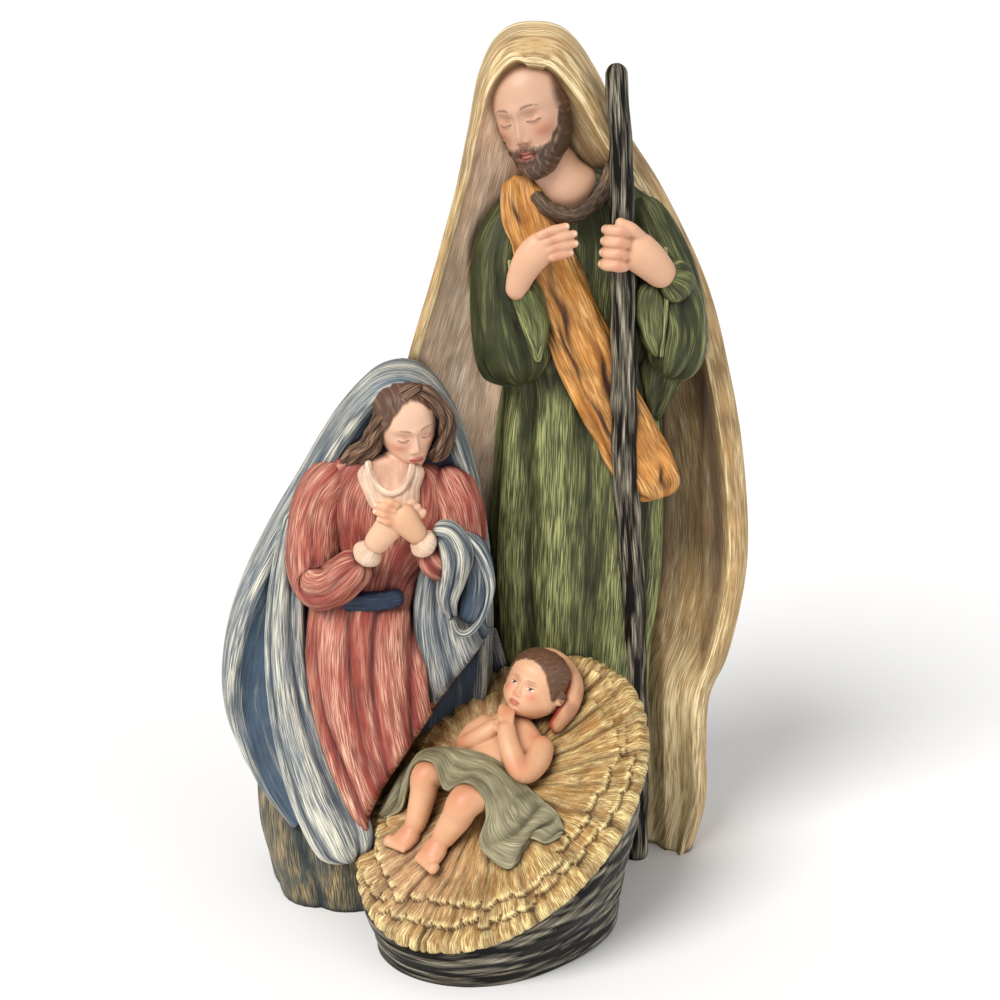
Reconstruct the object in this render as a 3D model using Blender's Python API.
# Holy family group: a painted resin casting in one piece, with Joseph standing, Mary kneeling
# and the Child lying on straw in a tub. Metres, +Z up, the viewer looks along +Y. The origin is
# on the flat underside, below the tub and near the middle of the group.
# The forms are lofts and turned shapes. A voxel Remesh fuses them, as the casting is one body,
# then a Decimate leaves few faces and a flat cut makes the underside.

import math

import bmesh
import bpy
import numpy as np
from mathutils import Matrix, Vector

# Driving sizes, in metres
JOSEPH_HEIGHT = 0.300
MARY_HEIGHT = 0.195
CHILD_LENGTH = 0.098
MANGER_LENGTH = 0.115
MANGER_WIDTH = 0.090
MANGER_MIDDLE_HEIGHT = 0.050
MANGER_FOOT_TAPER = 0.003
MANGER_SIDE_TAPER = 0.009
STRAW_RISE = 0.0045
STAFF_HEIGHT = 0.288
STAFF_TOP_DIAMETER = 0.0072
STAFF_FOOT_DIAMETER = 0.0098
JOSEPH_CLOAK_DEPTH = 0.042
MARY_CLOAK_DEPTH = 0.040
COLLAR_DIAMETER = 0.0050
BELT_HEIGHT = 0.0055

# Where each figure stands, and how the tub lies
JOSEPH_FOOT = (0.027, 0.033)
MARY_FOOT = (-0.042, -0.015)
MARY_SET_BACK = 0.020
MANGER_FOOT = (0.0, -0.025)
MANGER_HEADING = math.radians(47.4)
MANGER_TILT = math.radians(35.4)
MANGER_ROLL = math.radians(-7.5)

# The casting's mesh
FUSE_VOXEL = 0.0008
FUSE_SMOOTHING = 0.3
TRIANGLES = 9500
SINK = 0.003
FINE_COST = 0.00002
RESIN_COLOUR = (0.42, 0.34, 0.24, 1.0)
RESIN_ROUGHNESS = 0.62

# The drawing that the figures' points are read in: millimetres, with the heights and feet it has
DRAWN_JOSEPH = (300.0, (27.0, 8.0))
DRAWN_MARY = (195.0, (-42.0, -40.0))
DRAWN_CHILD_LENGTH = 98.0

# Lofts that stand on the ground run on this far below it, so that their round ends are cut off
BELOW_GROUND = 32.0

# Where the drawing's viewer stands, in millimetres of the drawing, and the heights between which
# the kneeling figure is set back: nothing on the ground, all of it above her knees
VIEWPOINT = (0.0, -600.0, 330.0)
SET_BACK_HEIGHTS = (15.0, 80.0)

# Height of the line along which the tub's rim meets the skirt: at the tub's side, and its slope
TUB_LINE_HEIGHT = 0.040
TUB_LINE_SLOPE = 1.33
TUB_LINE_BLEND = 0.007


def clear_scene():
    for obj in list(bpy.data.objects):
        bpy.data.objects.remove(obj, do_unlink=True)


def figure_map(height, foot, drawn):
    """A function that takes points of the drawing to metres, scaled about the figure's own foot."""
    unit = height / drawn[0]
    origin = np.array([drawn[1][0], drawn[1][1], 0.0])
    place = np.array([foot[0], foot[1], 0.0])
    return lambda points: place + (np.asarray(points, float) - origin) * unit


joseph = figure_map(JOSEPH_HEIGHT, JOSEPH_FOOT, DRAWN_JOSEPH)
mary_standing_place = figure_map(MARY_HEIGHT, MARY_FOOT, DRAWN_MARY)


def mary(points):
    """Mary's points, set back from the tub along the viewer's line of sight, so that she keeps her
    outline from the front."""
    points = np.array(points, float)
    share = smooth_step(*SET_BACK_HEIGHTS, points[..., 2:3])
    away = points[..., 1:2] - VIEWPOINT[1]
    grown = (away + share * MARY_SET_BACK * 1000) / away
    return mary_standing_place(np.array(VIEWPOINT) + (points - VIEWPOINT) * grown)


def beside_tub(points):
    """Mary's skirt and the fall of her cloak. Below the line of the tub's rim they keep behind its
    round wall, above that line they may stand over it."""
    points = mary(points)
    radius = MANGER_WIDTH / 2
    away = np.abs(points[..., 0] - MANGER_FOOT[0])
    wall = MANGER_FOOT[1] + np.sqrt(np.maximum(radius**2 - away**2, 0))
    wall = wall - 3 * np.maximum(away - radius, 0)
    line = TUB_LINE_HEIGHT + TUB_LINE_SLOPE * (points[..., 0] - MANGER_FOOT[0] + radius)
    low = smooth_step(TUB_LINE_BLEND, -TUB_LINE_BLEND, points[..., 2] - line)
    points[..., 1] += low * np.maximum(wall - points[..., 1], 0)
    return points


def manger_axes():
    """Unit vectors of the straw's plane: along the tub, across it to the viewer's right, and out."""
    along = np.array([
        math.sin(MANGER_HEADING) * math.cos(MANGER_TILT),
        math.cos(MANGER_HEADING) * math.cos(MANGER_TILT),
        math.sin(MANGER_TILT),
    ])
    level = np.array([math.cos(MANGER_HEADING), -math.sin(MANGER_HEADING), 0.0])
    upright = np.cross(level, along)
    across = level * math.cos(MANGER_ROLL) + upright * math.sin(MANGER_ROLL)
    return along, across, np.cross(across, along)


def straw_frame(points):
    """Points given along, across and out of the straw's plane, in metres, taken to the group."""
    along, across, out = manger_axes()
    points = np.asarray(points, float)
    centre = np.array([MANGER_FOOT[0], MANGER_FOOT[1], MANGER_MIDDLE_HEIGHT])
    return centre + points[..., :1] * along + points[..., 1:2] * across + points[..., 2:3] * out


def child(points):
    """The Child's points, drawn in millimetres on the straw's plane, taken to the group."""
    return straw_frame(np.asarray(points, float) * CHILD_LENGTH / DRAWN_CHILD_LENGTH)


def spline(rows, t):
    """Catmull-Rom curve through rows, at parameters t from 0 to 1."""
    rows = np.asarray(rows, float)
    last = len(rows) - 1
    where = np.clip(np.asarray(t, float) * last, 0, last - 1e-9)
    i = where.astype(int)
    f = (where - i)[..., None]
    before, here = rows[np.maximum(i - 1, 0)], rows[i]
    after, beyond = rows[i + 1], rows[np.minimum(i + 2, last)]
    return 0.5 * (
        2 * here
        + (after - before) * f
        + (2 * before - 5 * here + 4 * after - beyond) * f**2
        + (3 * here - before - 3 * after + beyond) * f**3
    )


def unit(vectors):
    return vectors / np.maximum(np.linalg.norm(vectors, axis=-1, keepdims=True), 1e-9)


def smooth_step(low, high, x):
    f = np.clip((np.asarray(x, float) - low) / (high - low), 0, 1)
    return f * f * (3 - 2 * f)


def mesh_from_grid(place, grid):
    """A closed mesh from rows of rings, with each end ring drawn to a middle point."""
    rows, around = grid.shape[:2]
    ends = np.stack([grid[0].mean(axis=0), grid[-1].mean(axis=0)])
    points = place(np.concatenate([grid.reshape(-1, 3), ends]))
    faces = []
    for r in range(rows - 1):
        for a in range(around):
            b = (a + 1) % around
            faces.append((r * around + a, r * around + b, (r + 1) * around + b, (r + 1) * around + a))
    first, last = rows * around, rows * around + 1
    for a in range(around):
        b = (a + 1) % around
        faces.append((b, a, first))
        faces.append(((rows - 1) * around + a, (rows - 1) * around + b, last))
    return points, faces


def loft(place, rows, rings=28, around=24, front=(0, -1, 0), power=2.0, relief=None):
    """A form along a path, with round ends. Each row is x, y, z, half-width, half-depth. relief
    adds to the radius."""
    t = (1 - np.cos(np.linspace(0, 1, rings) * math.pi)) / 2
    sampled = spline(rows, t)
    centre, half = sampled[:, :3], np.abs(sampled[:, 3:5])
    tangent = unit(np.gradient(centre, axis=0))
    wide = unit(np.cross(np.asarray(front, float), tangent))
    deep = unit(np.cross(tangent, wide))
    angle = np.linspace(0, 2 * math.pi, around, endpoint=False)
    c, s = np.cos(angle), np.sin(angle)
    curve_c = np.sign(c) * np.abs(c) ** (2 / power)
    curve_s = np.sign(s) * np.abs(s) ** (2 / power)
    length = np.concatenate([[0], np.cumsum(np.linalg.norm(np.diff(centre, axis=0), axis=1))])
    start = np.clip(length / np.maximum(half[0].mean(), 1e-6), 0, 1)
    finish = np.clip((length[-1] - length) / np.maximum(half[-1].mean(), 1e-6), 0, 1)
    cap = np.sqrt((1 - (1 - start) ** 2) * (1 - (1 - finish) ** 2))
    half = half * np.maximum(cap, 0.02)[:, None]
    extra = 0.0 if relief is None else relief(t[:, None], angle[None, :])
    grid = (
        centre[:, None]
        + wide[:, None] * (curve_c[None, :, None] * (half[:, 0, None, None] + np.atleast_3d(extra)))
        + deep[:, None] * (curve_s[None, :, None] * (half[:, 1, None, None] + np.atleast_3d(extra)))
    )
    return mesh_from_grid(place, grid)


def turned(yaw, pitch, roll):
    """A head's turn in degrees: yaw to the viewer's right, pitch down, roll of the crown to the right."""
    matrix = (
        Matrix.Rotation(math.radians(yaw), 3, "Z")
        @ Matrix.Rotation(math.radians(pitch), 3, "X")
        @ Matrix.Rotation(math.radians(roll), 3, "Y")
    )
    return np.array(matrix)


def bump(x, z, at, size):
    return np.exp(-(((x - at[0]) / size[0]) ** 2) - ((z - at[1]) / size[1]) ** 2)


def pinch(x, at, size):
    """A ridge of unit height at x = at that falls off over size."""
    return np.exp(-(((x - at) / size) ** 2))


def face_relief(x, z, nose, lids, lips):
    """How far the face stands forward at x across and z up, both as shares of the head's half-height.
    The proportions are the usual canon: eyes halfway up, the nose's base halfway from brow to chin,
    the mouth a third of the way from there. lids, lips and nose are depths."""
    side = np.abs(x)
    bridge = np.interp(z, (-0.46, -0.38, -0.28, 0.04, 0.22, 0.34), (0.0, 0.72, 1.0, 0.36, 0.24, 0.0))
    width = np.interp(z, (-0.45, -0.30, 0.05, 0.30), (0.085, 0.080, 0.052, 0.10))
    out = nose * bridge * np.exp(-((side / width) ** 2))
    out = out + 0.42 * nose * bump(side, z, (0.105, -0.36), (0.052, 0.060))
    out = out + 0.035 * bump(side, z, (0.24, 0.19), (0.20, 0.075))
    out = out - 0.100 * bump(side, z, (0.27, 0.02), (0.125, 0.105))
    out = out + 0.085 * bump(side, z, (0.285, -0.01), (0.100, 0.075))
    lid = pinch(z, 0.045 - 0.9 * (side - 0.285) ** 2, 0.022)
    out = out + lids * lid * smooth_step(0.16, 0.08, np.abs(side - 0.285))
    out = out + 0.045 * bump(side, z, (0.42, -0.22), (0.16, 0.14))
    out = out + 0.030 * bump(x, z, (0, -0.60), (0.20, 0.16))
    mouth = smooth_step(0.215, 0.12, side)
    out = out + lips * mouth * pinch(z, -0.565 + 0.02 * np.cos(9 * x), 0.034)
    out = out + 1.15 * lips * smooth_step(0.19, 0.08, side) * pinch(z, -0.655, 0.040)
    out = out - 0.9 * lips * mouth * pinch(z, -0.610, 0.015)
    out = out - 0.035 * bump(x, z, (0, -0.745), (0.16, 0.040))
    out = out + 0.060 * bump(x, z, (0, -0.87), (0.17, 0.095))
    return out


HEAD_ROWS = (
    (1.00, 0.00, 0.00, 0.00), (0.97, 0.24, 0.20, 0.26), (0.86, 0.48, 0.44, 0.54),
    (0.62, 0.66, 0.66, 0.78), (0.30, 0.735, 0.76, 0.90), (0.00, 0.725, 0.755, 0.88),
    (-0.30, 0.665, 0.765, 0.74), (-0.55, 0.575, 0.765, 0.56), (-0.78, 0.455, 0.735, 0.40),
    (-0.93, 0.315, 0.655, 0.30), (-1.00, 0.13, 0.48, 0.20), (-1.01, 0.00, 0.30, 0.10),
)


HEAD_RINGS = 46
HEAD_COLUMNS = 56


def head(place, centre, half_height, turn, wide=1.0, beard=0.0, nose=0.17, lids=0.02, lips=0.045):
    """A head as rings up its axis. HEAD_ROWS hold height, half-width, front depth and back depth."""
    table = spline(HEAD_ROWS, np.linspace(0, 1, HEAD_RINGS))
    angle = np.linspace(0, 2 * math.pi, HEAD_COLUMNS, endpoint=False)
    across, forward = np.sin(angle), -np.cos(angle)
    z = table[:, :1] + 0 * across
    x = wide * table[:, 1:2] * across
    y = np.where(forward < 0, table[:, 2:3] * forward, table[:, 3:4] * forward)
    facing = smooth_step(0.0, 0.55, -forward)
    y = y - facing * face_relief(x / wide, z, nose, lids, lips)
    if beard:
        jaw = smooth_step(-0.30, -0.52, z - 0.55 * (np.abs(x) - 0.35))
        jaw = jaw * smooth_step(-0.45, 0.10, -forward)
        lip_gap = 1 - 0.8 * bump(x, z, (0, -0.61), (0.17, 0.075))
        y = y - beard * jaw * lip_gap * facing
        x = x * (1 + 0.55 * beard * jaw)
        z = z - 0.9 * beard * smooth_step(-0.70, -1.0, z) * facing
    grid = np.stack([x, y, z], axis=-1) * half_height
    return mesh_from_grid(place, grid @ np.asarray(turn, float).T + np.asarray(centre, float))


# The cloaks

def cloak_shell(place, table, depth, spine_back, valley, inner, folds, stations=40, across=9):
    """A cloak that arches over the head. Each row of the table, from the crown to the hem, holds
    height, left x, right x, left lip, right lip, edge y, outer y, how far the back line lies below,
    and back y as a share of depth. The lip is the band between the outline and the front edge.
    valley and inner are how far in, and how far behind that edge, the lining has its points."""
    rows = np.asarray(table, float)
    ends = rows[:, [1, 0, 3]], rows[:, [2, 0, 4]]
    outline = np.concatenate([ends[0][::-1], ends[1][1:]])
    outline = spline(outline, np.linspace(0, 1, 2 * stations - 1))
    shared = spline(rows, np.linspace(0, 1, stations))
    shared = np.concatenate([shared[::-1], shared[1:]])
    edge_y, out_y, drop, back = shared[:, 5], shared[:, 6], shared[:, 7], shared[:, 8] * depth
    path, lip = outline[:, :2], outline[:, 2]
    middle = (shared[:, 1] + shared[:, 2]) / 2
    half = np.abs(path[:, 0] - middle)
    slope = unit(np.gradient(path, axis=0))
    inward = np.stack([slope[:, 1], -slope[:, 0]], axis=1)
    share = np.abs(np.linspace(-1, 1, 2 * stations - 1))
    crown = smooth_step(0.34, 0.0, share)

    def at(offset, y):
        moved = path + inward * np.asarray(offset)[:, None]
        return np.stack([moved[:, 0], y + 0 * lip, moved[:, 1]], axis=1)

    lining_back = spine_back * (1 - 0.3 * crown) if spine_back > 0 else spine_back
    grid = np.stack([
        np.stack([middle, spine_back + 0 * lip, path[:, 1] - drop * crown - 9.0 * crown], axis=1),
        at(0.72 * half + 5.0 * crown, lining_back),
        at(lip + inner[0] * (1 - crown) + 3.0 * crown + 4.0, edge_y + inner[1] * (1 - crown) + 9.0 * crown),
        at(lip + valley[0], edge_y + valley[1]),
        at(lip, edge_y),
        at(0.35 * lip, 0.7 * edge_y + 0.3 * out_y - 0.6),
        at(0 * lip, out_y),
        at(0.10 * half + 0.6, out_y + 0.52 * (back - out_y)),
        at(0.34 * half + 1.6, out_y + 0.90 * (back - out_y)),
        np.stack([middle + 0.25 * (path[:, 0] - middle), back, path[:, 1] - 0.8 * drop], axis=1),
        np.stack([middle, back, path[:, 1] - drop], axis=1),
    ], axis=1)
    t = np.linspace(0, 1, (grid.shape[1] - 1) * across // 2 + 1)
    grid = np.stack([spline(column, t) for column in grid])
    if folds is not None:
        side = np.repeat((path[:, 0] - middle)[:, None] / np.maximum(half.max(), 1e-6), len(t), axis=1)
        grid = folds(grid, t[None, :], side, middle[:, None])
    return shell_mesh(place, grid)


def shell_mesh(place, grid):
    """Faces of a folded-over sheet whose side columns meet on the spine. bmesh welds and caps it."""
    rows, across = grid.shape[:2]
    points = place(grid.reshape(-1, 3))
    index = np.arange(rows * across).reshape(rows, across)
    corners = index[:-1, :-1], index[1:, :-1], index[1:, 1:], index[:-1, 1:]
    faces = np.stack(corners, axis=-1).reshape(-1, 4)
    mesh = bmesh.new()
    verts = [mesh.verts.new(p) for p in points]
    for face in faces:
        mesh.faces.new([verts[i] for i in face])
    bmesh.ops.remove_doubles(mesh, verts=mesh.verts, dist=0.00005)
    bmesh.ops.holes_fill(mesh, edges=[e for e in mesh.edges if e.is_boundary], sides=0)
    bmesh.ops.triangulate(mesh, faces=mesh.faces)
    mesh.verts.index_update()
    points = np.array([v.co for v in mesh.verts])
    faces = [tuple(v.index for v in f.verts) for f in mesh.faces]
    mesh.free()
    return points, faces


def fold_wave(phase):
    """Rounded ridges with narrow valleys, from -1 to 1."""
    return 2 * np.abs(np.cos(phase)) ** 0.7 - 1


def hanging_folds(grid, t, middle, size, spacing, low, high):
    """Upright folds on a cloak's back. They fan out from the neck and deepen towards the hem."""
    outer = smooth_step(0.66, 0.80, t)
    down = smooth_step(high, low, grid[..., 2])
    fan = (grid[..., 0] - middle) / (1 + 0.5 * down)
    grid = grid.copy()
    grid[..., 1] += size * outer * down * (fold_wave(math.pi * fan / spacing + 0.5) - 0.4)
    return grid


JOSEPH_CLOAK_ROWS = (
    (300, 11, 11, 11.5, 11.5, -14.5, 4, 3, 0.33), (298.5, 3, 19.5, 10.5, 11.5, -14.5, 4, 6, 0.43),
    (293, -3, 26, 7.5, 10.5, -14, 4, 9, 0.53), (282, -7.5, 33, 4.5, 9, -12, 4, 10, 0.62),
    (266, -10.5, 41.5, 3.2, 8, -7, 4, 8, 0.71), (245, -15, 55, 3, 7.5, -1, 5, 4, 0.80),
    (216, -23, 69.5, 3, 7, 1, 6, 0, 0.87), (186, -32, 78.5, 3, 7, 1.5, 7, 0, 0.91),
    (150, -40, 85.5, 3, 7, 1.5, 8, 0, 0.94), (113, -45, 88, 3, 7, 1.5, 8, 0, 0.96),
    (80, -46, 83, 3, 6.5, 1.5, 8, 0, 0.98), (62, -46, 76.5, 3, 6, 0, 8, 0, 0.99),
    (40, -46, 76, 3, 5.5, 0, 8, 0, 1.0), (20, -45, 76.5, 3, 5.5, 0, 8, 0, 1.0),
    (-3, -44, 71.5, 3, 5, 0, 8, 0, 0.99),
)
MARY_CLOAK_ROWS = (
    (195, -32, -32, 5.5, 5.5, -42, -29, 3, 0.30), (193.5, -39, -25.5, 5.5, 5.5, -42, -29, 5, 0.38),
    (188, -46, -19.5, 5, 4.5, -41, -29, 7, 0.48), (177, -55, -13.5, 5, 4, -40, -28, 7, 0.60),
    (159, -66, -8, 4.5, 3, -38, -27, 5, 0.74), (135, -80, -4, 4.5, 3, -37, -26, 2, 0.88),
    (110, -91, -2.5, 4.5, 3, -37, -25, 0, 0.96), (86, -95.6, -2.7, 4.5, 3, -37, -24, 0, 1.0),
    (68, -94, -4, 4.5, 3, -38, -24, 0, 1.0), (52, -87, -5, 4.5, 3, -39, -24, 0, 0.98),
    (40, -76, -6, 4.5, 3, -40, -24, 0, 0.94),
)
MARY_BACK_LINE = -28.0


def joseph_cloak():
    depth = JOSEPH_CLOAK_DEPTH / JOSEPH_HEIGHT * DRAWN_JOSEPH[0]

    def folds(grid, t, side, middle):
        grid = hanging_folds(grid, t, middle, 3.2, 17.0, 90, 262)
        lining = smooth_step(0.08, 0.16, t) * smooth_step(0.36, 0.28, t) * smooth_step(262, 200, grid[..., 2])
        grid[..., 1] += 1.3 * lining * fold_wave(grid[..., 0] / 4.3 + 0.004 * grid[..., 2])
        return grid

    return cloak_shell(joseph, JOSEPH_CLOAK_ROWS, depth, 15.0, (3.0, 3.5), (14.0, 11.0), folds)


def mary_cloak():
    depth = MARY_CLOAK_DEPTH / MARY_HEIGHT * DRAWN_MARY[0]
    table = np.array(MARY_CLOAK_ROWS, float)
    table[:, 8] = (MARY_BACK_LINE + table[:, 8] * depth) / depth

    def folds(grid, t, side, middle):
        grid = hanging_folds(grid, t, middle, 2.6, 15.0, 70, 165)
        hem = smooth_step(75, 38, grid[..., 2]) * smooth_step(0.50, 0.30, t) * smooth_step(-0.1, -0.4, side)
        grid[..., 2] -= 15.0 * hem
        grid[..., 1] -= 6.0 * hem
        return grid

    return cloak_shell(mary, table, depth, -16.0, (7.0, 2.5), (19.0, 1.0), folds, stations=34)


def mary_cloak_ridge():
    """The cloak's inner fold, which sweeps down beside the dress and over its lower left side."""
    return loft(mary, (
        (-66, -36, 146, 4, 3), (-70, -38, 124, 5.5, 4), (-71, -41, 100, 7, 5), (-68, -45, 76, 8.5, 6),
        (-61, -50, 54, 10.5, 6.5), (-54, -53, 38, 11, 6), (-50, -54, 27, 8, 4),
    ), rings=30, around=26)


# Joseph

JOSEPH_HEAD_AT = (11.0, -1.5, 273.0)
JOSEPH_HEAD_HALF = 17.9
JOSEPH_HEAD_TURN = (-24.0, 14.0, -13.0)


def joseph_tunic():
    """The tunic: sloping shoulders, a bloused waist and a skirt in upright folds."""

    def relief(t, angle):
        skirt = smooth_step(0.42, 0.60, t)
        blouse = bump(t, 0 * angle, (0.40, 0), (0.035, 1))
        return 1.5 * skirt * fold_wave(4.5 * angle + 0.9 + 0.5 * t) + 1.6 * blouse

    rows = (
        (22, 5, 253, 10, 7), (24, 5, 247, 21, 9), (26, 5, 239, 29, 11), (27, 7, 226, 31, 13),
        (26, 8, 208, 30, 14.5), (27, 8, 190, 28.5, 14), (28, 8, 179, 26.5, 13), (28, 8, 162, 28, 15),
        (28, 8, 140, 29.5, 17),
        (27, 8, 112, 30, 17), (26, 8, 80, 27.5, 18), (26, 8, 40, 27, 18), (26, 8, -BELOW_GROUND, 28, 18),
    )
    return loft(joseph, rows, rings=50, around=72, power=2.3, relief=relief)


def joseph_sleeves():
    """Wide sleeves that hang in a bag below each forearm and end in a slanting cuff."""

    def relief(t, angle):
        return 0.9 * smooth_step(0.1, 0.4, t) * fold_wave(2.5 * angle + 2.0 * t)

    right = loft(joseph, (
        (8, 4, 243, 6, 7), (1.5, 2, 230, 9, 10), (0.5, 0, 214, 10, 12), (2, -3, 199, 11.5, 12.5),
        (5, -6, 189, 11.5, 10), (8, -7, 182, 6, 6),
    ), rings=28, around=30, relief=relief)
    right_cuff = loft(joseph, (
        (13, -9, 182, 3, 4), (13, -10, 190, 8, 6), (10.5, -11.5, 203, 8.5, 7), (7.5, -13, 214, 6, 6),
        (7, -14, 220, 4.5, 4.5),
    ), rings=18, around=22)
    left = loft(joseph, (
        (43, 4, 246, 7, 8), (49.5, 3, 233, 9, 10), (55.5, 0, 217, 9.5, 11), (59.5, -3, 203, 9.5, 12),
        (59, -6, 192, 9, 10), (57, -7, 184, 4, 5),
    ), rings=28, around=30, relief=relief)
    left_cuff = loft(joseph, (
        (52.5, -8, 185, 3, 4), (53, -10, 193, 6, 6), (55, -12, 204, 7, 6.5), (58, -13.5, 213, 5, 5),
    ), rings=16, around=20)
    tip = loft(joseph, ((56, 0, 194, 9, 6), (54, 1, 180, 7, 4), (52, 1, 167, 2, 2)), rings=10, around=12)
    return [right, right_cuff, left, left_cuff, tip]


def joseph_hands():
    """The right hand lies on the sash, the left is closed round the staff."""
    parts = [
        loft(joseph, (
            (6, -14, 214, 4.3, 4.3), (9, -16.5, 221, 5.6, 4.4), (14.5, -18.5, 228, 7.4, 4.2),
            (19, -19, 231.5, 6.8, 3.8),
        ), rings=14, around=18),
        loft(joseph, (
            (60, -13, 210, 4.6, 4.6), (56, -16, 216, 6.4, 5), (50, -18, 223, 8.2, 5),
            (44, -18.5, 226.5, 8.0, 4.8),
        ), rings=14, around=18),
    ]
    for n in range(4):
        across = (n - 1.5) * 3.2
        start = np.array([17.5 + 0.45 * across, -19.0, 230.5 - 0.85 * across])
        tip = start + np.array([8.5 - 0.5 * abs(across), -0.6, 3.8])
        middle = (start + tip) / 2 + np.array([0, -1.0, 0.3])
        finger = [(*start, 1.9, 1.9), (*middle, 1.8, 1.8), (*tip, 1.35, 1.35)]
        parts.append(loft(joseph, finger, rings=9, around=10))
    for n in range(4):
        z = 234.0 - 4.2 * n
        x = 45.5 - 0.5 * n
        parts.append(loft(joseph, [
            (x, -19.5, z, 2.2, 2.2), (x - 4.5, -22.3, z + 0.4, 2.2, 2.2),
            (x - 9.6, -20.5, z + 0.4, 2.1, 2.1), (x - 11.0, -15.5, z, 1.8, 1.8),
        ], rings=12, around=12, front=(0, 0, 1)))
    parts.append(loft(joseph, [
        (48, -18, 231, 2.6, 2.6), (44, -20.5, 237.5, 2.3, 2.3), (39.5, -19.5, 240.5, 1.8, 1.8),
    ], rings=9, around=12))
    return parts


def joseph_sash():
    """The sash from the right shoulder, behind the staff, to its loose end."""

    def relief(t, angle):
        return 0.7 * fold_wave(3.0 * angle + 1.5 * t)

    rows = (
        (7, 2, 250, 5, 4), (8.5, -4, 242, 8, 4), (13, -6.5, 228, 9, 4), (21, -7.5, 210, 9.5, 4),
        (30, -7.5, 190, 10, 4), (39, -7.5, 172, 10.5, 4), (48, -7.5, 156, 11, 4), (55, -7.5, 143, 10.5, 3.5),
        (57, -7, 137, 8, 3),
    )
    return loft(joseph, rows, rings=34, around=32, relief=relief, power=2.4)


def joseph_head():
    turn = turned(*JOSEPH_HEAD_TURN)
    face = head(joseph, JOSEPH_HEAD_AT, JOSEPH_HEAD_HALF, turn, beard=0.20, lids=0.03)
    neck = loft(joseph, (
        (14, 2, 263, 9, 9), (17.5, 2, 253, 9.5, 9.5), (22, 1.5, 244, 14, 10), (25, 1, 237, 16, 10),
    ), rings=14)
    radius = COLLAR_DIAMETER / JOSEPH_HEIGHT * DRAWN_JOSEPH[0] / 2
    line = (
        (11, -6, 246), (16, -9.5, 241.5), (23, -10.5, 239.5), (30, -9, 242.5), (35, -5, 249),
        (37, 0, 256),
    )
    collar = loft(joseph, [(*p, radius, radius) for p in line], rings=22, around=12)
    return [face, neck, collar]


def staff():
    """The staff, held upright and leaning a little out to its foot, with a few knots."""
    top = STAFF_TOP_DIAMETER / JOSEPH_HEIGHT * DRAWN_JOSEPH[0] / 2
    foot = STAFF_FOOT_DIAMETER / JOSEPH_HEIGHT * DRAWN_JOSEPH[0] / 2
    high = STAFF_HEIGHT / JOSEPH_HEIGHT * DRAWN_JOSEPH[0]
    rows = []
    for f in np.linspace(0, 1, 12):
        sway = 0.7 * math.sin(11 * f) + 0.4 * math.sin(23 * f)
        y = -11.0 - 9.0 * math.sin(math.pi * min(1.0, f * 1.4)) * (1 - f) + 10.5 * f
        radius = top + (foot - top) * min(1, 1.3 * f)
        rows.append((36.8 + sway + 14.3 * f, y, high - f * (high + SINK * 1000), radius, radius))

    def relief(t, angle):
        return 0.35 * np.sin(38 * t + angle) * np.cos(61 * t)

    return loft(joseph, rows, rings=60, around=14, relief=relief)


# Mary

MARY_HEAD_AT = (-30.5, -37.5, 177.5)
MARY_HEAD_HALF = 13.8
MARY_HEAD_TURN = (22.0, 20.0, -8.0)


def mary_dress():
    """The dress: a narrow waist, knees forward, and folds that run down to a point."""

    def relief(t, angle):
        skirt = smooth_step(0.36, 0.55, t)
        return 1.3 * skirt * fold_wave(3.5 * angle + 1.4 + 2.2 * t)

    rows = (
        (-32, -33, 167, 8, 7), (-33, -33, 161, 20, 10), (-36, -34, 150, 27, 13), (-38, -35, 137, 24, 14),
        (-41, -37, 124, 16, 14), (-44, -39, 114, 18, 16), (-44, -42, 96, 20, 18), (-41, -44, 76, 21, 19.5),
        (-36, -45, 56, 20, 19), (-32, -42, 36, 16, 15), (-30, -38, 18, 10, 10),
    )
    return loft(beside_tub, rows, rings=42, around=56, power=2.2, relief=relief)


def mary_gown_foot():
    """The lower gown that spreads under the cloak's hem, down to the ground."""

    def relief(t, angle):
        return 1.3 * fold_wave(3.5 * angle + 1.2 * t)

    front = (
        (-56, -15, 66, 28, 26), (-56, -14, 48, 30, 30), (-56, -14, 28, 30, 30), (-55, -13, 10, 28, 29),
        (-54, -12, -BELOW_GROUND, 22, 24),
    )
    back = ((-48, 0, 70, 40, 14), (-47, 2, 40, 41, 15), (-45, 3, 12, 39, 15), (-45, 3, -BELOW_GROUND, 38, 14))
    return [
        loft(mary, front, rings=20, around=44, relief=relief, power=2.1),
        loft(mary, back, rings=14, around=44, relief=relief),
    ]


def mary_sleeves():
    def relief(t, angle):
        return 0.7 * fold_wave(2.5 * angle + 3.0 * t)

    right = loft(mary, (
        (-50, -34, 162, 7, 8), (-58, -37, 152, 9, 10), (-60.5, -41, 137, 9.5, 10.5), (-58, -46, 125, 9, 9),
        (-51, -53, 126, 7.5, 8), (-44.5, -58, 134, 6.5, 7), (-40.5, -60, 140, 5, 5.5),
    ), rings=32, around=26, relief=relief)
    left = loft(mary, (
        (-19, -34, 161, 7, 8), (-14, -38, 150, 8, 9), (-12.5, -43, 138, 7.5, 8.5), (-14, -50, 130, 7, 7.5),
        (-18, -56, 133, 6.2, 6.5), (-22.5, -59, 139, 5, 5),
    ), rings=28, around=24, relief=relief)
    return [right, left]


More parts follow.
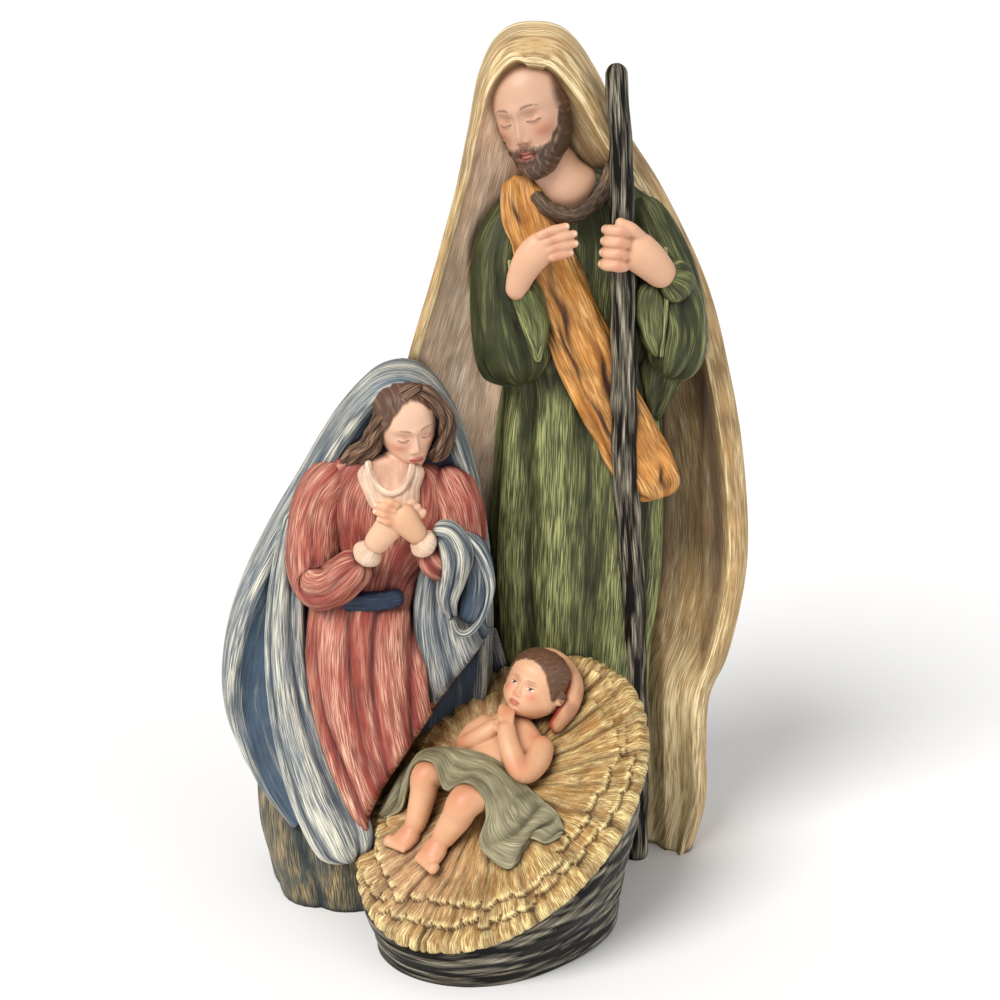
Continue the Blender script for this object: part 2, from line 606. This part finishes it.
def mary_hands():
    """Hands crossed on the breast, the left over the right."""
    parts = [
        loft(mary, (
            (-21, -60, 139, 4.2, 4), (-26, -62.5, 146, 5.6, 4), (-31, -64, 151.5, 6.4, 3.6),
            (-34, -63.5, 154, 5, 3.2),
        ), rings=14, around=18),
        loft(mary, (
            (-42, -60, 138, 4.2, 4), (-37, -61.5, 144, 4.6, 3.8), (-31, -60.5, 151, 5, 3.2),
            (-26, -58, 155, 3, 2.4),
        ), rings=12, around=16),
    ]
    for n in range(4):
        across = (n - 1.5) * 2.6
        start = np.array([-32.0 + 0.7 * across, -64.4, 151.5 + 0.75 * across])
        tip = start + np.array([-5.6, 0.7, 3.2])
        parts.append(loft(mary, [
            (*start, 1.6, 1.5), (*((start + tip) / 2 + (0, -0.5, 0.2)), 1.5, 1.5), (*tip, 1.1, 1.1),
        ], rings=9, around=10))
    return parts


def mary_head():
    turn = turned(*MARY_HEAD_TURN)
    face = head(mary, MARY_HEAD_AT, MARY_HEAD_HALF, turn, nose=0.14, lips=0.05)
    neck = loft(mary, (
        (-31, -33, 171, 6, 6), (-31, -34, 163, 6.5, 6.5), (-32, -37, 157, 10, 8), (-32, -40, 150, 9, 7),
    ), rings=12)
    hair_right = loft(mary, (
        (-28, -42, 190.5, 3, 3), (-34, -43.5, 188, 3.5, 3.5), (-40, -42, 181, 4, 4),
        (-43.5, -40, 172.5, 5, 4), (-48, -38, 165.5, 6, 3.5), (-53, -36.5, 160, 4, 3),
    ), rings=24, around=18)
    hair_left = loft(mary, (
        (-29, -42.5, 190.5, 3, 3), (-24, -43, 188.5, 3, 3), (-19.5, -41.5, 182, 3, 3.5),
        (-17.5, -39, 173.5, 3.5, 3.5), (-17.5, -37, 165, 3.5, 3), (-18.5, -36, 160, 2.5, 2.5),
    ), rings=22, around=16)
    return [face, neck, hair_right, hair_left]


def mary_belt():
    radius = BELT_HEIGHT / MARY_HEIGHT * DRAWN_MARY[0] / 2
    line = ((-57, -46, 122), (-51, -50.5, 122), (-43, -52.5, 122.5), (-34, -51.5, 123.5), (-27, -47, 124.5))
    return loft(mary, [(*p, 1.7, radius) for p in line], rings=18, around=14, front=(0, 0, 1), power=2.6)


def mary_drapes():
    """The cloak over her left forearm: the turned-back cuff, its loop and the fall below."""

    def relief(t, angle):
        return 1.0 * fold_wave(2.5 * angle + 1.5 * t)

    cuff = loft(mary, (
        (-20, -56, 143, 4, 4), (-16.5, -57, 141, 6, 5), (-14, -57, 131, 6.5, 5), (-12, -54, 119, 5.5, 5),
        (-10, -51, 108, 3, 3.5),
    ), rings=24, around=24, relief=relief)
    loop = loft(mary, (
        (-9, -45, 143, 5, 6), (-5.5, -46, 131, 6.5, 8), (-5.5, -46, 118, 7, 8), (-9, -47, 106, 4, 5),
    ), rings=20, around=22, relief=relief)
    fall = loft(beside_tub, (
        (-18, -45, 134, 7, 7), (-19, -45, 116, 10, 8), (-15, -43, 95, 14, 9), (-11, -41, 75, 15, 10),
        (-8, -39, 55, 14, 11), (-7, -37, 30, 13, 11),
    ), rings=30, around=40, relief=relief)
    return [cuff, loop, fall]


# The tub, the straw and the Child

def rim_ring(angle, share=1.0):
    """The tub's rim, an oval in the tilted plane."""
    a, b = MANGER_LENGTH / 2 * share, MANGER_WIDTH / 2 * share
    return np.stack([a * np.cos(angle), b * np.sin(angle), 0 * angle], axis=-1)


def manger_tub():
    """Upright walls from the slanting rim to a slightly smaller foot on the ground."""
    angle = np.linspace(0, 2 * math.pi, 64, endpoint=False)
    rim = straw_frame(rim_ring(angle, 0.985))
    middle = np.array([MANGER_FOOT[0], MANGER_FOOT[1], 0.0])
    outward = unit((rim - middle) * (1, 1, 0))
    rows = []
    for f in np.linspace(0, 1, 9):
        ring = rim.copy()
        ring[:, 2] = rim[:, 2] * (1 - f) - SINK * f
        bulge = 0.0015 * math.sin(math.pi * min(1, 1.6 * f))
        taper = MANGER_FOOT_TAPER + MANGER_SIDE_TAPER * np.sin(angle[:, None]) ** 2
        rows.append(ring + outward * (bulge - taper * f**1.5))
    return mesh_from_grid(lambda p: p, np.stack(rows))


def manger_straw():
    """The straw's dome. Clumps run out over the rim and end in steps there."""
    angle = np.linspace(0, 2 * math.pi, 120, endpoint=False)
    tuft = fold_wave(9.5 * angle) * 0.5 + fold_wave(14.5 * angle + 1) * 0.5
    rows = [straw_frame(rim_ring(angle, 0.88) + np.array([0, 0, -0.012]))]
    rows.append(straw_frame(rim_ring(angle, 0.98) + np.array([0, 0, -0.0065])))
    for share in (1.02, 1.03, 1.0, 0.93, 0.90, 0.84, 0.80, 0.72, 0.60, 0.46, 0.30, 0.12):
        spread = 1 + 0.014 * tuft * (share > 0.98)
        clump = 0.0011 * fold_wave(9.5 * angle + 5 * share) + 0.0005 * np.cos(31 * angle - 14 * share)
        rise = STRAW_RISE * (1 - min(1, share) ** 2.4)
        step = 0.0012 * (0.86 < share < 0.96) - 0.003 * (share == 1.02) - 0.0008 * (share == 1.03)
        points = rim_ring(angle, 1) * (share * spread)[:, None]
        points[:, 2] = rise + step + clump * min(1, 3 * share)
        rows.append(straw_frame(points))
    return mesh_from_grid(lambda p: p, np.stack(rows))


CHILD_HEAD_AT = (36.0, -6.0, 14.5)
CHILD_HEAD_HALF = 12.0


def child_head_turn():
    """The head lies back on the straw with the crown along the tub, and turns to the viewer's left."""
    return np.array(
        Matrix.Rotation(math.radians(-90), 3, "Z")
        @ Matrix.Rotation(math.radians(-58), 3, "X")
        @ Matrix.Rotation(math.radians(-58), 3, "Z")
    )


def child_body():
    """Head, trunk, arms crossed on the chest and drawn-up legs, along the tub, across and out."""
    trunk = (
        (26, -5, 8, 6, 4), (21, -5, 8, 11, 6), (13, -4.5, 8.5, 12.5, 7), (4, -4, 8.5, 11.5, 7),
        (-5, -5, 7, 10, 6),
    )
    far_arm = (
        (20, -15, 8, 4, 4), (12, -17.5, 9, 4.2, 4.2), (6.5, -15, 11.5, 3.8, 3.8),
        (11, -9.5, 15.5, 3.4, 3.2), (17, -6, 17, 2.8, 2.4),
    )
    near_arm = (
        (22, 5, 8, 4.5, 4.5), (14, 9.5, 9, 4.6, 4.6), (7, 9.5, 12, 4.2, 4.2),
        (11, 3, 16.5, 3.6, 3.4), (17.5, -3.5, 18.5, 3, 2.6),
    )
    far_leg = (
        (3, -11, 8, 6.5, 5.5), (-3, -14.5, 11.5, 6, 5.2), (-10.5, -18, 15, 5.2, 5),
        (-16, -17, 11.5, 4.6, 4.4), (-23.5, -15.2, 8, 4, 3.8), (-28, -14.8, 6, 3.5, 3.2),
        (-34, -16, 6, 3, 2.4),
    )
    near_leg = (
        (3, 2.5, 8.5, 7, 6), (-4, 3, 12.5, 6.5, 5.6), (-12.5, 2, 16, 6, 5.4), (-17.5, 0.5, 12.5, 5.4, 4.8),
        (-23, -1.5, 9, 4.6, 4.2), (-27, -2.8, 6.8, 3.8, 3.4), (-34, -2, 7, 3.2, 2.6),
    )
    parts = [
        loft(child, rows, rings=24, around=20, front=(0, 0, 1))
        for rows in (trunk, far_arm, near_arm, far_leg, near_leg)
    ]
    turn = child_head_turn()
    parts.append(head(child, CHILD_HEAD_AT, CHILD_HEAD_HALF, turn, wide=1.14, nose=0.10, lips=0.04))
    return parts


def child_crescent():
    """The edge of cloth that the head lies against, round its crown and its near side."""
    return loft(child, (
        (46, -19.5, 7.5, 1.2, 3.5), (49, -14.5, 8, 2.8, 4.2), (49.2, -8.5, 8, 3.3, 4.5),
        (46.2, -0.8, 7.5, 3.4, 4.5), (41.5, 3.2, 7, 3.4, 4.5), (35, 5, 6.5, 3.2, 4.2),
        (26.5, 5.5, 6, 1.6, 3.2),
    ), rings=26, around=14, front=(0, 0, 1))


CLOTH_ROWS = (
    ((-28.5, -32.5, 3.5), (-28.4, -31.5, 4), (-28.2, -30, 3.5)),
    ((-19, -34.2, 5.5), (-21, -29, 7.5), (-23.5, -24.5, 5.5)),
    ((-11, -33.5, 7.5), (-13.5, -28.5, 11), (-17.5, -24.2, 11)),
    ((-4, -31, 9.5), (-6.5, -26.5, 14.5), (-11.5, -23.2, 17)),
    ((0, -25, 12), (-3.5, -21.5, 17.5), (-8.5, -18, 21)),
    ((2, -18, 14.5), (-2, -15, 18.3), (-8.3, -13.5, 18.5)),
    ((3.5, -12, 15.5), (-3, -10, 16.5), (-13, -9.5, 11)),
    ((5, -4.6, 16), (-3, -4, 16.5), (-12, -4.8, 14)),
    ((5.4, 2, 15.5), (-1.5, 2, 19), (-8.5, 2, 22.3)),
    ((5, 7.5, 13), (-2, 7.2, 18), (-8.6, 7.2, 19)),
    ((4.5, 12, 10.5), (-4, 11.5, 14), (-12.5, 9.6, 12.5)),
    ((4, 16, 8), (-7, 15.5, 10.5), (-19.5, 9.8, 7)),
    ((3.6, 19.5, 7), (-8, 19, 8.6), (-22.2, 17, 5.5)),
    ((3, 23.5, 6.5), (-6, 22.5, 7.6), (-21, 24.5, 5)),
    ((1.8, 27.5, 5.8), (-3, 26, 6.6), (-10.5, 22.8, 5.5)),
    ((0, 30.5, 5.2), (-3, 29.5, 5.8), (-8, 29.5, 5)),
    ((-1.6, 32.4, 4.8), (-2.4, 32.6, 4.9), (-3.2, 32.2, 4.7)),
)
CLOTH_THICKNESS = 3.0


def child_cloth():
    """The cloth over the hips. Each row holds its upper edge, its middle and its lower edge, along
    the tub, across it and out of the straw. The underside lies in the body and the straw."""
    s = np.linspace(0, 1, 60)[:, None]
    rows = spline(np.array(CLOTH_ROWS, float).reshape(-1, 9), s[:, 0]).reshape(-1, 1, 3, 3)
    f = np.linspace(0, 1, 16)[None, :, None]
    upper, middle, lower = rows[:, :, 0], rows[:, :, 1], rows[:, :, 2]
    top = upper * (1 - f) * (1 - 2 * f) + middle * 4 * f * (1 - f) + lower * f * (2 * f - 1)
    fold = fold_wave(30 * s + 2 * f[..., 0]) * smooth_step(0.58, 0.72, s)
    top[..., 2] += 0.9 * fold * np.sin(math.pi * f[..., 0])
    under = top[:, ::-1].copy()
    under[..., 2] -= CLOTH_THICKNESS
    return [mesh_from_grid(child, np.concatenate([top, under], axis=1))]


# The casting

def joined_mesh(name, parts):
    points, faces, start = [], [], 0
    for part_points, part_faces in parts:
        points.extend(map(tuple, part_points))
        faces.extend(tuple(start + i for i in face) for face in part_faces)
        start += len(part_points)
    mesh = bpy.data.meshes.new(name)
    mesh.from_pydata(points, [], faces)
    mesh.update()
    return mesh


def evaluated_copy(obj):
    graph = bpy.context.evaluated_depsgraph_get()
    return bpy.data.meshes.new_from_object(obj.evaluated_get(graph), depsgraph=graph)


def keep_largest_shell(mesh):
    """Drops crumbs and sealed hollows that fusing leaves, so that the casting is one body."""
    work = bmesh.new()
    work.from_mesh(mesh)
    seen, shells = set(), []
    for vert in work.verts:
        if vert in seen:
            continue
        shell, stack = [], [vert]
        seen.add(vert)
        while stack:
            v = stack.pop()
            shell.append(v)
            for edge in v.link_edges:
                other = edge.other_vert(v)
                if other not in seen:
                    seen.add(other)
                    stack.append(other)
        shells.append(shell)
    shells.sort(key=len)
    for shell in shells[:-1]:
        bmesh.ops.delete(work, geom=shell, context="VERTS")
    work.to_mesh(mesh)
    work.free()


def fine_areas(mesh):
    """A weight for each vertex: 1 where the mesh may be thinned freely, less on faces and hands."""
    points = np.empty(len(mesh.vertices) * 3)
    mesh.vertices.foreach_get("co", points)
    points = points.reshape(-1, 3)
    spots = [
        (joseph([np.array(JOSEPH_HEAD_AT) + (-3, -12, -3)])[0], 0.017),
        (mary([np.array(MARY_HEAD_AT) + (2, -9, -2)])[0], 0.013),
        (child([np.array(CHILD_HEAD_AT) + (-2, -2, 4)])[0], 0.011),
        (joseph([(14, -19, 228)])[0], 0.011), (joseph([(42, -20, 228)])[0], 0.011),
        (mary([(-31, -63, 152)])[0], 0.010),
    ]
    weights = np.ones(len(points))
    for centre, reach in spots:
        weights[np.linalg.norm(points - centre, axis=1) < reach] = 0.5
    return weights


def flat_underside(mesh):
    """Cuts the casting at the ground and closes it, so that it stands on one flat face."""
    work = bmesh.new()
    work.from_mesh(mesh)
    geometry = list(work.verts) + list(work.edges) + list(work.faces)
    bmesh.ops.bisect_plane(
        work, geom=geometry, dist=1e-7, plane_co=(0, 0, 0), plane_no=(0, 0, 1), clear_inner=True,
    )
    bmesh.ops.holes_fill(work, edges=[e for e in work.edges if e.is_boundary], sides=0)
    bmesh.ops.triangulate(work, faces=work.faces)
    bmesh.ops.recalc_face_normals(work, faces=work.faces)
    work.to_mesh(mesh)
    work.free()


def resin():
    material = bpy.data.materials.new("painted_resin")
    material.use_nodes = True
    shader = material.node_tree.nodes["Principled BSDF"]
    shader.inputs["Base Color"].default_value = RESIN_COLOUR
    shader.inputs["Roughness"].default_value = RESIN_ROUGHNESS
    return material


def casting():
    parts = [joseph_cloak(), joseph_tunic(), joseph_sash(), staff()]
    parts += joseph_sleeves() + joseph_hands() + joseph_head()
    parts += [mary_cloak(), mary_cloak_ridge(), mary_dress(), mary_belt()]
    parts += mary_gown_foot() + mary_sleeves() + mary_hands() + mary_head() + mary_drapes()
    parts += [manger_tub(), manger_straw(), child_crescent()] + child_body() + child_cloth()
    rough = bpy.data.objects.new("rough_forms", joined_mesh("rough_forms", parts))
    bpy.context.collection.objects.link(rough)
    fuse = rough.modifiers.new("Fuse", "REMESH")
    fuse.mode = "VOXEL"
    fuse.voxel_size = FUSE_VOXEL
    soften = rough.modifiers.new("Soften", "SMOOTH")
    soften.factor = FUSE_SMOOTHING
    soften.iterations = 2
    fused = evaluated_copy(rough)
    keep_largest_shell(fused)
    rough.modifiers.clear()
    rough.data = fused
    fine = rough.vertex_groups.new(name="thin_here")
    weights = fine_areas(fused)
    for level in np.unique(weights):
        fine.add(np.flatnonzero(weights == level).tolist(), float(level), "REPLACE")
    thin = rough.modifiers.new("Thin", "DECIMATE")
    thin.ratio = TRIANGLES / (2 * len(fused.polygons))
    thin.vertex_group = fine.name
    thin.vertex_group_factor = FINE_COST
    thinned = evaluated_copy(rough)
    bpy.data.objects.remove(rough, do_unlink=True)
    flat_underside(thinned)
    keep_largest_shell(thinned)
    thinned.shade_smooth()
    thinned.set_sharp_from_angle(angle=math.radians(50))
    thinned.materials.append(resin())
    body = bpy.data.objects.new("holy_family_casting", thinned)
    bpy.context.collection.objects.link(body)
    return body


clear_scene()
casting()
